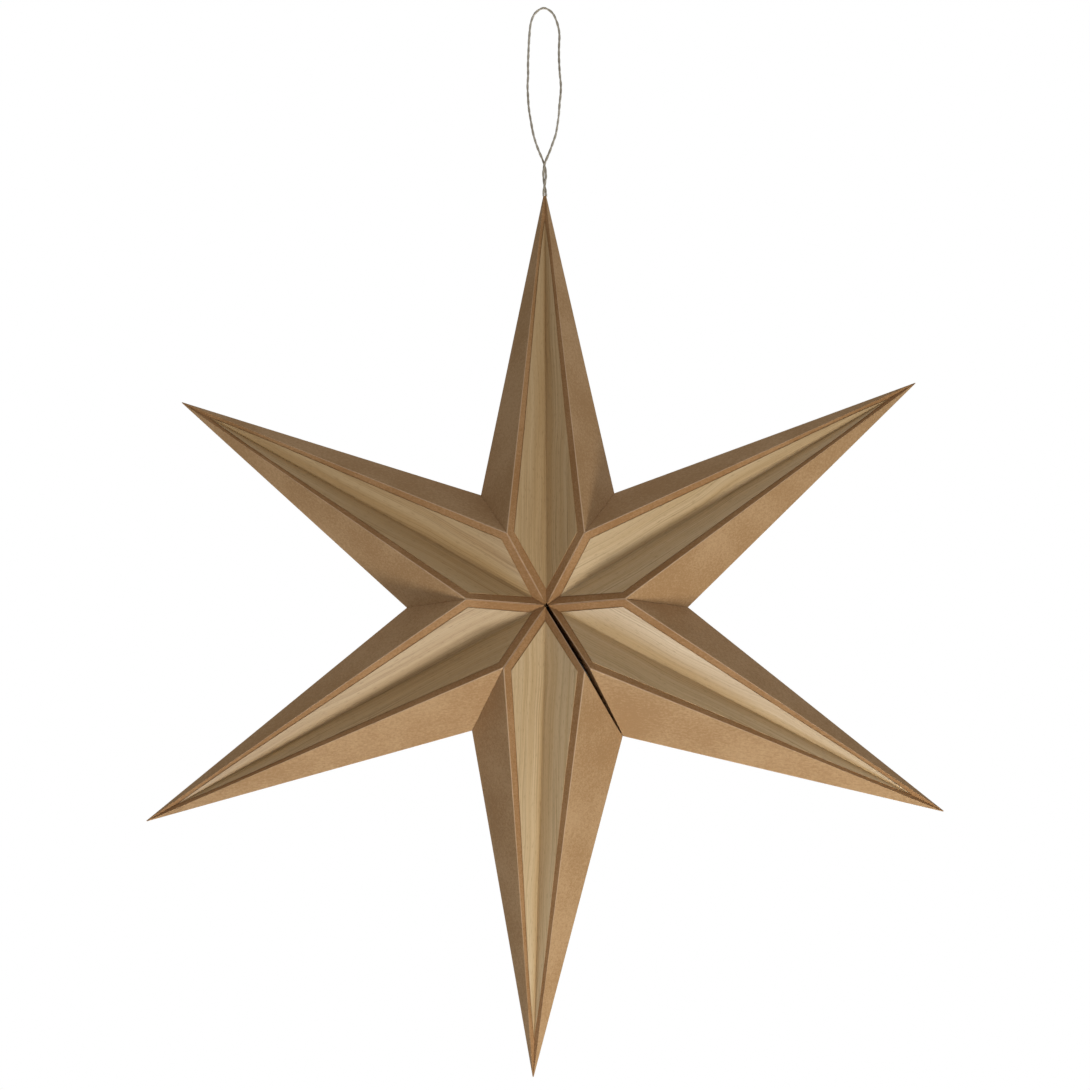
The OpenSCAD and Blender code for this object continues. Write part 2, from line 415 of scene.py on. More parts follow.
@dataclass(frozen=True)
class KraftCard:
    """Uncoated kraft card, calendered: warm brown pulp with short fibres, paler where it is folded."""

    light: str = "#c5a177"
    dark: str = "#b08a5f"
    fleck: str = "#86633f"
    worn: str = "#dfbf9c"
    border: str = "#efe3d6"
    cloud_mm: float = 28.0
    cloud_share: float = 0.8
    pulp_mm: float = 1.3
    fibre_mm: float = 0.55
    fibre_length_mm: float = 5.0
    fibre_turns: tuple[tuple[float, ...], ...] = ((0.3, 0.5, 0.2), (1.2, -0.4, 1.9))
    fold_wear: float = 0.75
    relief_mm: float = 0.08

    def material(self) -> bpy.types.Material:
        """Builds the finish.

        Returns:
            The material. The real fibres are about 0.03 mm wide, too fine to show, so they are
            drawn about half a millimetre wide.
        """
        made, tree, shader = new_finish("kraft_card")
        place = add_node(tree, "ShaderNodeTexCoord").outputs["Object"]
        clouds = add_node(tree, "ShaderNodeTexNoise", inputs={
            "Vector": place, "Scale": 1 / (self.cloud_mm * MM), "Detail": 3.0}).outputs["Fac"]
        pulp = add_node(tree, "ShaderNodeTexNoise", inputs={
            "Vector": place, "Scale": 1 / (self.pulp_mm * MM), "Detail": 4.0,
            "Roughness": 0.65}).outputs["Fac"]
        thin = 1 / (self.fibre_mm * MM)
        fibres = []
        for turn in self.fibre_turns:
            laid = add_node(tree, "ShaderNodeMapping", inputs={
                "Vector": place, "Rotation": turn,
                "Scale": (1 / (self.fibre_length_mm * MM), thin, thin)}).outputs[0]
            fibres.append(add_node(tree, "ShaderNodeTexNoise", inputs={
                "Vector": laid, "Scale": 1.0, "Detail": 2.0}).outputs["Fac"])
        strands = add_node(tree, "ShaderNodeMath", {"operation": "MAXIMUM"}, {
            0: fibres[0], 1: fibres[1]}).outputs[0]
        grain = add_node(tree, "ShaderNodeMath", {"operation": "ADD"}, {0: pulp, 1: strands}).outputs[0]
        tone = add_node(tree, "ShaderNodeMath", {"operation": "MULTIPLY_ADD"}, {
            0: clouds, 1: self.cloud_share, 2: grain}).outputs[0]
        mottle = add_node(tree, "ShaderNodeMapRange", inputs={
            "Value": tone, "From Min": 1.28, "From Max": 1.67}).outputs[0]
        flecks = add_node(tree, "ShaderNodeMapRange", inputs={
            "Value": strands, "From Min": 0.68, "From Max": 0.78, "To Max": 0.45}).outputs[0]
        valley, fold = (add_node(tree, "ShaderNodeAttribute", {"attribute_name": name}).outputs["Fac"]
                        for name in ("valley", "fold"))
        rubbed = add_node(tree, "ShaderNodeMath", {"operation": "MULTIPLY"}, {
            0: fold, 1: self.fold_wear}).outputs[0]
        colour = linear(self.dark)
        for share, shade, blend in ((mottle, self.light, "MIX"), (flecks, self.fleck, "MIX"),
                                    (valley, self.border, "MULTIPLY"), (rubbed, self.worn, "MIX")):
            colour = add_node(tree, "ShaderNodeMix", {"data_type": "RGBA", "blend_type": blend}, {
                0: share, 6: colour, 7: linear(shade)}).outputs[2]
        rough = add_node(tree, "ShaderNodeMapRange", inputs={
            "Value": pulp, "From Min": 0.3, "From Max": 0.7, "To Min": 0.74, "To Max": 0.9}).outputs[0]
        bump = add_node(tree, "ShaderNodeBump", inputs={
            "Strength": 0.35, "Distance": self.relief_mm * MM, "Height": grain}).outputs[0]
        set_inputs(tree, shader, {"Base Color": colour, "Roughness": rough, "Normal": bump,
                                  "Specular IOR Level": 0.15, "IOR": 1.47})
        return made


@dataclass(frozen=True)
class PaleVeneer:
    """Raw sliced veneer of a pale, straight-grained wood: fine lines along each valley, soft bands."""

    light: str = "#e1c89f"
    dark: str = "#d2b486"
    line: str = "#a07e50"
    honey: str = "#dcd0bc"
    # Darkens the veneer along its crease: painted shade in the crease, together with a pressed score line.
    score_line_and_crease_shade: str = "#ece6dd"
    band_mm: float = 4.5
    band_length_mm: float = 260.0
    line_mm: float = 0.75
    line_length_mm: float = 90.0
    group_mm: float = 5.0
    group_length_mm: float = 110.0
    pore_mm: float = 0.45
    pore_length_mm: float = 4.0
    sway_mm: float = 7.0
    sway_length_mm: float = 60.0
    relief_mm: float = 0.05

    def material(self) -> bpy.types.Material:
        """Builds the finish.

        Returns:
            The material, which reads the veneer's own map of metres along and across the valley. Its
            pores are drawn wider than real ones, which are too fine to show.
        """
        made, tree, shader = new_finish("pale_veneer")
        place = add_node(tree, "ShaderNodeUVMap", {"uv_map": "grain"}).outputs[0]
        sway = add_node(tree, "ShaderNodeTexNoise", inputs={
            "Vector": place, "Scale": 1 / (self.sway_length_mm * MM), "Detail": 1.0}).outputs["Fac"]
        aside = add_node(tree, "ShaderNodeMath", {"operation": "MULTIPLY"}, {
            0: sway, 1: self.sway_mm * MM}).outputs[0]
        push = add_node(tree, "ShaderNodeCombineXYZ", inputs={1: aside}).outputs[0]
        swayed = add_node(tree, "ShaderNodeVectorMath", {"operation": "ADD"}, {
            0: place, 1: push}).outputs[0]
        layers = []
        for long_mm, wide_mm, detail in ((self.band_length_mm, self.band_mm, 2.0),
                                         (self.line_length_mm, self.line_mm, 3.0),
                                         (self.pore_length_mm, self.pore_mm, 1.0),
                                         (self.group_length_mm, self.group_mm, 1.0)):
            laid = add_node(tree, "ShaderNodeVectorMath", {"operation": "MULTIPLY"}, {
                0: swayed, 1: (1 / (long_mm * MM), 1 / (wide_mm * MM), 1.0)}).outputs[0]
            layers.append(add_node(tree, "ShaderNodeTexNoise", inputs={
                "Vector": laid, "Scale": 1.0, "Detail": detail, "Roughness": 0.55}).outputs["Fac"])
        bands = add_node(tree, "ShaderNodeMapRange", inputs={
            "Value": layers[0], "From Min": 0.32, "From Max": 0.68}).outputs[0]
        groups = add_node(tree, "ShaderNodeMapRange", inputs={
            "Value": layers[3], "From Min": 0.36, "From Max": 0.64,
            "To Min": 0.3, "To Max": 0.92}).outputs[0]
        lines = add_node(tree, "ShaderNodeMapRange", inputs={
            "Value": layers[1], "From Min": 0.45, "From Max": 0.82, "To Max": groups}).outputs[0]
        pores = add_node(tree, "ShaderNodeMapRange", inputs={
            "Value": layers[2], "From Min": 0.6, "From Max": 0.76, "To Max": 0.55}).outputs[0]
        # The crease mask carries painted shade along the valley's crease, together with a darker pressed
        # score line.
        tone, crease = (add_node(tree, "ShaderNodeAttribute", {"attribute_name": name}).outputs["Fac"]
                        for name in ("tone", "crease"))
        colour = linear(self.dark)
        for share, shade, blend in ((bands, self.light, "MIX"), (lines, self.line, "MIX"),
                                    (pores, self.line, "MIX"), (tone, self.honey, "MULTIPLY"),
                                    (crease, self.score_line_and_crease_shade, "MULTIPLY")):
            colour = add_node(tree, "ShaderNodeMix", {"data_type": "RGBA", "blend_type": blend}, {
                0: share, 6: colour, 7: linear(shade)}).outputs[2]
        rough = add_node(tree, "ShaderNodeMapRange", inputs={
            "Value": layers[1], "From Min": 0.3, "From Max": 0.7,
            "To Min": 0.42, "To Max": 0.52}).outputs[0]
        relief = add_node(tree, "ShaderNodeMath", {"operation": "ADD"}, {0: lines, 1: pores}).outputs[0]
        bump = add_node(tree, "ShaderNodeBump", {"invert": True}, {
            "Strength": 0.4, "Distance": self.relief_mm * MM, "Height": relief}).outputs[0]
        set_inputs(tree, shader, {"Base Color": colour, "Roughness": rough, "Normal": bump,
                                  "Specular IOR Level": 0.35, "IOR": 1.5})
        return made


@dataclass(frozen=True)
class JuteTwine:
    """Two-ply jute, spun and not dressed: dull grey tan with paler and darker fibres, and no gloss."""

    light: str = "#dcd3c1"
    dark: str = "#a2967f"
    fibre_mm: float = 0.16
    fibre_length_mm: float = 4.0
    patch_mm: float = 14.0
    relief_mm: float = 0.1

    def material(self) -> bpy.types.Material:
        """Builds the finish.

        Returns:
            The material. Its fibres are drawn coarser than real ones, which are too fine to show.
        """
        made, tree, shader = new_finish("jute_twine")
        place = add_node(tree, "ShaderNodeTexCoord").outputs["Object"]
        across = add_node(tree, "ShaderNodeAttribute", {"attribute_name": "across"}).outputs["Vector"]
        run = add_node(tree, "ShaderNodeAttribute", {"attribute_name": "run"}).outputs["Fac"]
        along = add_node(tree, "ShaderNodeCombineXYZ", inputs={2: run}).outputs[0]
        strand = add_node(tree, "ShaderNodeVectorMath", {"operation": "ADD"}, {
            0: across, 1: along}).outputs[0]
        thin = 1 / (self.fibre_mm * MM)
        laid = add_node(tree, "ShaderNodeVectorMath", {"operation": "MULTIPLY"}, {
            0: strand, 1: (thin, thin, 1 / (self.fibre_length_mm * MM))}).outputs[0]
        fibres = add_node(tree, "ShaderNodeTexNoise", inputs={
            "Vector": laid, "Scale": 1.0, "Detail": 2.0}).outputs["Fac"]
        patches = add_node(tree, "ShaderNodeTexNoise", inputs={
            "Vector": place, "Scale": 1 / (self.patch_mm * MM), "Detail": 2.0}).outputs["Fac"]
        both = add_node(tree, "ShaderNodeMath", {"operation": "ADD"}, {0: fibres, 1: patches}).outputs[0]
        share = add_node(tree, "ShaderNodeMapRange", inputs={
            "Value": both, "From Min": 0.75, "From Max": 1.25}).outputs[0]
        colour = add_node(tree, "ShaderNodeMix", {"data_type": "RGBA"}, {
            0: share, 6: linear(self.dark), 7: linear(self.light)}).outputs[2]
        bump = add_node(tree, "ShaderNodeBump", inputs={
            "Strength": 0.5, "Distance": self.relief_mm * MM, "Height": fibres}).outputs[0]
        set_inputs(tree, shader, {"Base Color": colour, "Normal": bump, "Roughness": 0.92,
                                  "Specular IOR Level": 0.2, "Sheen Weight": 0.2})
        return made


@dataclass(frozen=True)
class NickelPlate:
    """Nickel plated over a pressed magnet: dark grey metal, dulled by fine handling marks."""

    light: str = "#777674"
    dark: str = "#5f5e5c"
    mark_mm: float = 1.5

    def material(self) -> bpy.types.Material:
        """Builds the finish.

        Returns:
            The material.
        """
        made, tree, shader = new_finish("nickel_plate")
        place = add_node(tree, "ShaderNodeTexCoord").outputs["Object"]
        marks = add_node(tree, "ShaderNodeTexNoise", inputs={
            "Vector": place, "Scale": 1 / (self.mark_mm * MM), "Detail": 5.0}).outputs["Fac"]
        colour = add_node(tree, "ShaderNodeMix", {"data_type": "RGBA"}, {
            0: marks, 6: linear(self.dark), 7: linear(self.light)}).outputs[2]
        rough = add_node(tree, "ShaderNodeMapRange", inputs={
            "Value": marks, "To Min": 0.5, "To Max": 0.68}).outputs[0]
        set_inputs(tree, shader, {"Base Color": colour, "Roughness": rough, "Metallic": 1.0})
        return made


@dataclass
class BaseSpot:
    """A spot on the base of a card, from which one line of its surface runs to the tip."""

    place: Spot
    into_panel: Spot
    reach: float
    valley: float = 1.0
    wear: float = 0.0
    bow: Spot | None = None


@dataclass
class FoldedCard:
    """One point of the star: a card folded to a hollow spike, with round folds and slightly bowed walls."""

    folds: StarFolds
    ray: Ray
    fold_reach: float = 0.8
    fold_fade: float = 4.0
    wall_share: float = 0.25
    guard: float = 0.35
    rows: int = 26
    steps: int = 9
    bow: float = 0.45
    bow_mean: float = 0.6
    bow_spread: float = 1.5
    bow_rise: float = 1.5
    bow_patch: float = 55.0
    bow_step: float = 7.3
    edge_wear: float = 0.25
    tip_wear: float = 0.25
    seam_trims: tuple[float, ...] = (0.3, 0.75, -0.61, -0.61, -0.61)
    seam_curl: float = 0.35
    merge_gap: float = 0.0004

    # Numbers of the inside's corners: its faces, each side's panel from front to back, and the mouth.
    INNER_FACES = ((0, 12, 14, 6, 2), (0, 4, 8, 16, 12), (1, 3, 7, 15, 13), (1, 13, 17, 9, 5),
                   (6, 14, 18, 10), (8, 11, 19, 16), (7, 10, 18, 15), (9, 17, 19, 11),
                   (2, 6, 10, 7, 3), (4, 5, 9, 11, 8), (12, 16, 19, 17, 13, 15, 18, 14))
    INNER_PANELS = ((2, 6, 10, 7, 3), (4, 8, 11, 9, 5))
    MOUTH = (0, 2, 3, 1, 5, 4)

    def at_seam(self, side: int) -> bool:
        """Returns whether the panel on one side lies at the seam."""
        return self.folds.panel_of(self.ray, side) == self.folds.seam

    def slide(self, side: int, place: Spot, depth: float) -> Spot:
        """Returns how a spot of a panel moves along its fold to the tip to lie deeper in the card."""
        way = self.folds.tip(self.ray) - place
        return way * depth / -(way @ self.folds.panel_plane(self.ray, side, 0.0)[0])

    def seam_slides(self, side: int) -> list[Spot]:
        """Finds how a panel's corners move, because the seam gapes at the front and shuts at the back.

        Args:
            side: 0 for the clockwise panel, and 1 for the other one.

        Returns:
            The moves of the corners, from the front inner edge to the back one. Only the seam's
            panels move.
        """
        return [self.slide(side, corner, trim if self.at_seam(side) else 0.0)
                for corner, trim in zip(self.folds.panel_corners(self.ray, side), self.seam_trims)]

    def side_spots(self, side: int) -> list[BaseSpot]:
        """Samples the folds round one glued panel, from its front inner edge to its back one.

        Args:
            side: 0 for the clockwise panel, and 1 for the other one.

        Returns:
            The spots, closer together at the ridges and the outer edge, where the base is rounded.
        """
        folds, ray = self.folds, self.ray
        normal = folds.panel_plane(ray, side, 0.0)[0]
        curl = self.seam_curl if self.at_seam(side) else 0.0
        corners = [a + b for a, b in zip(folds.panel_corners(ray, side), self.seam_slides(side))]
        middle = sum(corners) / len(corners)
        walls = {i: folds.wall_plane(ray, side, face, 0.0)[0]
                 for i, face in ((1, Face.FRONT), (2, Face.BACK))}
        edge = self.fold_reach + self.guard
        spots: list[BaseSpot] = []

        def add(place: Spot, way: Spot, valley: float, share: float, wear: float = 0.0,
                bow: Spot | None = None) -> None:
            """Adds one spot, whose fold fades in from the inner edges."""
            inwards = np.cross(normal, way)
            inwards = inwards if inwards @ (middle - place) > 0 else -inwards
            away = min(np.linalg.norm(place - corners[0]), np.linalg.norm(place - corners[-1]))
            reach = self.fold_reach * share * min(1.0, away / self.fold_fade)
            spots.append(BaseSpot(place, unit(inwards), reach, valley, wear, bow))

        for i in range(4):
            start, end = corners[i], corners[i + 1]
            way, length = unit(end - start), np.linalg.norm(end - start)
            low = 0.0 if i == 0 else edge
            high = length if i == 3 else length - edge
            for k in range(self.steps + 1):
                along = low + (high - low) * k / self.steps
                part = along / length
                place = start + along * way
                if i in walls:
                    depth = curl * part * (1 - part ** 8) if i == 1 else 0.0
                    place = place + self.slide(side, place, depth)
                    add(place, way, 0.0, self.wall_share, bow=walls[i] * math.sin(math.pi * part))
                else:
                    add(place, way, 1.0, 1.0)
            if i < 3:
                next_way = unit(corners[i + 2] - end)
                shares = [self.wall_share if k in walls else 1.0 for k in (i, i + 1)]
                first, last = end - self.fold_reach * way, end + self.fold_reach * next_way
                for t in CURVE_STEPS:
                    in_valley = float(i == 0 and t < 0.5 or i == 2 and t > 0.5)
                    worn = wear_across(t) * (self.edge_wear if i == 1 else 1.0)
                    share = (1 - t) * shares[0] + t * shares[1]
                    add(rounded(first, end, last, t), unit((1 - t) * way + t * next_way),
                        in_valley, share, worn)
        return spots

    def line(self, spot: BaseSpot) -> list[tuple[Spot, float]]:
        """Runs one line of the card from the tip over the base fold on to the panel.

        Args:
            spot: The spot on the base.

        Returns:
            The places and how worn the card is there. All lines have the same number of places.
        """
        tip = self.folds.tip(self.ray)
        axis = self.folds.toward(self.folds.tip_angle(self.ray))
        run = tip - spot.place
        end = tip - run * self.folds.tip_cut(self.ray) / (run @ axis)
        up = unit(run)
        guard = self.guard if spot.reach > 0 else 0.0
        foot = spot.place + (spot.reach + guard) * up
        patch = Vector((self.ray.value * self.bow_step, 0, 0))
        places = []
        for k in range(self.rows + 1):
            share = k / self.rows
            place = end + share * (foot - end)
            if spot.bow is not None:
                chance = noise.noise(Vector(place / self.bow_patch) + patch)
                sway = self.bow_mean + self.bow_spread * chance
                place = place + spot.bow * self.bow * sway * self.bow_rise * share * (1 - share ** 4)
            places.append((place, spot.wear * min(1.0, self.tip_wear + 2 * share)))
        first, last = spot.place + spot.reach * up, spot.place + spot.reach * spot.into_panel
        for t in CURVE_STEPS:
            worn = spot.valley * wear_across(t) if spot.reach > 0 else 0.0
            places.append((rounded(first, spot.place, last, t), max(spot.wear * (1 - t), worn)))
        places.append((spot.place + (spot.reach + guard) * spot.into_panel, 0.0))
        return places

    def build(self, material: bpy.types.Material) -> bpy.types.Object:
        """Builds the card.

        Args:
            material: The finish of the card.

        Returns:
            The closed card, with its valleys and worn folds in the attributes that the finish reads.
        """
        folds, ray = self.folds, self.ray
        mouth = folds.mouth_plane(ray)
        creases = [BaseSpot(folds.on_crease(ray, face, 0.0, mouth), np.zeros(3), 0.0) for face in Face]
        sides = [self.side_spots(0), self.side_spots(1)[::-1]]
        shape = bmesh.new()
        fold = shape.verts.layers.float.new("fold")
        valley = shape.verts.layers.float.new("valley")
        lines = []
        for spot in (creases[0], *sides[0], creases[1], *sides[1]):
            line = []
            for place, worn in self.line(spot):
                vert = shape.verts.new(place * MM)
                vert[fold] = worn
                vert[valley] = spot.valley
                line.append(vert)
            lines.append(line)
        for a, b in zip(lines, lines[1:] + lines[:1]):
            for k in range(len(a) - 1):
                shape.faces.new((a[k], a[k + 1], b[k + 1], b[k]))
        back = len(sides[0]) + 1
        panels = [lines[1:back], lines[back + 1:]]
        for panel in panels:
            shape.faces.new([line[-1] for line in panel])
        shape.faces.new([line[0] for line in lines])
        inside = folds.inner_corners(ray)
        for side, numbers in enumerate(self.INNER_PANELS):
            for i, slide in zip(numbers, self.seam_slides(side)):
                inside[i] = inside[i] + slide
        inner = [shape.verts.new(place * MM) for place in inside]
        for corners in self.INNER_FACES:
            shape.faces.new([inner[i] for i in reversed(corners)])
        rim = [lines[0], panels[0][0], panels[0][-1], lines[back], panels[1][0], panels[1][-1]]
        for i in range(len(rim)):
            j = (i + 1) % len(rim)
            shape.faces.new((rim[i][-1], rim[j][-1], inner[self.MOUTH[j]], inner[self.MOUTH[i]]))
        bmesh.ops.remove_doubles(shape, verts=shape.verts[:], dist=self.merge_gap * MM)
        bmesh.ops.triangulate(shape, faces=[f for f in shape.faces if len(f.verts) > 4])
        bmesh.ops.recalc_face_normals(shape, faces=shape.faces[:])
        name = ray.name.lower()
        piece = mesh_object(f"card_{name}", shape, material)
        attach(piece, "root")
        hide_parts(f"point_{name}")
        return piece


@dataclass
class ValleyVeneer:
    """The veneer in one valley, bent along the crease, slightly crowned, and fuller towards the tip."""

    folds: StarFolds
    ray: Ray
    face: Face
    tone: float
    bend_share: float = 0.03
    crown: float = 0.4
    fullness: float = 0.75
    # Width of the painted crease shade and score line, in millimetres.
    crease_w: float = 0.7
    steps: int = 14
    rows: int = 30
    crowding: float = 1.5

    # Brings the curve of the fullness to about one at its peak, four fifths of the way to the tip.
    FULL_PEAK = 12.2
    # How far apart the sheets lie on the map of the grain, in metres, so that no two are alike.
    RAY_STEP = 0.4
    BACK_STEP = 0.2

    def surface(self, by: float) -> list[list[Spot]]:
        """Samples one side of the veneer.

        Args:
            by: Height over the card.

        Returns:
            Rows of spots across the valley, from the hub to the tip.
        """
        near, far, *corners = self.folds.veneer_corners(self.ray, self.face, by)
        normals = [self.folds.valley_plane(self.ray, side, self.face, 0.0)[0] for side in (0, 1)]
        up = unit(normals[0] + normals[1])
        rise = float(((corners[0] + corners[1]) / 2 - near) @ up)
        way = unit(far - near)
        outwards = [unit(c - near - ((c - near) @ way) * way) for c in corners]
        shares = [(k / self.steps) ** self.crowding for k in range(self.steps + 1)]
        across = [-s for s in reversed(shares[1:])] + shares
        bend = self.bend_share
        grid = []
        for row in range(self.rows + 1):
            run = row / self.rows
            line = []
            for q in across:
                side, wide = (0, -q) if q < 0 else (1, q)
                lift = (wide ** 2 + bend ** 2) / (2 * bend) - wide if wide < bend else 0.0
                crowned = self.crown * math.sin(math.pi * wide) * 4 * run * (1 - run)
                base = near + wide * (corners[side] - near) + lift * rise * up
                full = self.fullness * wide * self.FULL_PEAK * run ** 4 * (1 - run)
                line.append(base + run * (far - base) + full * outwards[side] + crowned * normals[side])
            grid.append(line)
        return grid

    def build(self, material: bpy.types.Material) -> bpy.types.Object:
        """Builds the veneer.

        Args:
            material: The finish of the veneer.

        Returns:
            The closed veneer, with a map in metres along and across its valley.
        """
        folds = self.folds
        upper, lower = self.surface(folds.glue_t + folds.veneer_t), self.surface(folds.glue_t)
        start, stop = upper[0][self.steps], upper[-1][self.steps]
        way = unit(stop - start)
        sheet = self.RAY_STEP * self.ray.value + (self.BACK_STEP if self.face is Face.BACK else 0.0)
        shape = bmesh.new()
        grain = shape.loops.layers.uv.new("grain")
        tone = shape.verts.layers.float.new("tone")
        crease = shape.verts.layers.float.new("crease")
        spread: dict[bmesh.types.BMVert, tuple[float, float]] = {}

        def add_side(grid: list[list[Spot]]) -> list[list[bmesh.types.BMVert]]:
            """Adds the spots of one side, and one shared spot for the far end."""
            verts = []
            for row in grid[:-1]:
                verts.append([shape.verts.new(p * MM) for p in row])
                for k, (vert, p) in enumerate(zip(verts[-1], row)):
                    along = float((p - start) @ way)
                    wide = float(np.linalg.norm(p - start - along * way)) * (-1 if k < self.steps else 1)
                    spread[vert] = (along * MM + sheet, wide * MM + sheet)
                    vert[tone] = self.tone
                    # Marks the crease, where the finish paints shade and a pressed score line.
                    vert[crease] = 1 / (1 + (wide / self.crease_w) ** 2)
            end = shape.verts.new(grid[-1][self.steps] * MM)
            end[tone], end[crease] = self.tone, 1.0
            spread[end] = (float((stop - start) @ way) * MM + sheet, sheet)
            verts.append([end] * len(grid[0]))
            return verts

        def add_face(corners: list[bmesh.types.BMVert]) -> None:
            """Adds a face without the corners that fall together, and maps its grain."""
            kept = [v for i, v in enumerate(corners) if v not in corners[:i]]
            for loop in shape.faces.new(kept).loops:
                loop[grain].uv = spread[loop.vert]

        top, bottom = add_side(upper), add_side(lower)
        last = len(top[0]) - 1
        for r in range(self.rows):
            for k in range(last):
                add_face([top[r][k], top[r][k + 1], top[r + 1][k + 1], top[r + 1][k]])
                add_face([bottom[r][k], bottom[r + 1][k], bottom[r + 1][k + 1], bottom[r][k + 1]])
            for k in (0, last):
                add_face([top[r][k], top[r + 1][k], bottom[r + 1][k], bottom[r][k]])
        for k in range(last):
            add_face([top[0][k], bottom[0][k], bottom[0][k + 1], top[0][k + 1]])
        bmesh.ops.recalc_face_normals(shape, faces=shape.faces[:])
        name = f"{self.face.name.lower()}_{self.ray.name.lower()}"
        piece = mesh_object(f"veneer_sheet_{name}", shape, material)
        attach(piece, "root")
        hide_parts(f"veneer_{name}")
        return piece


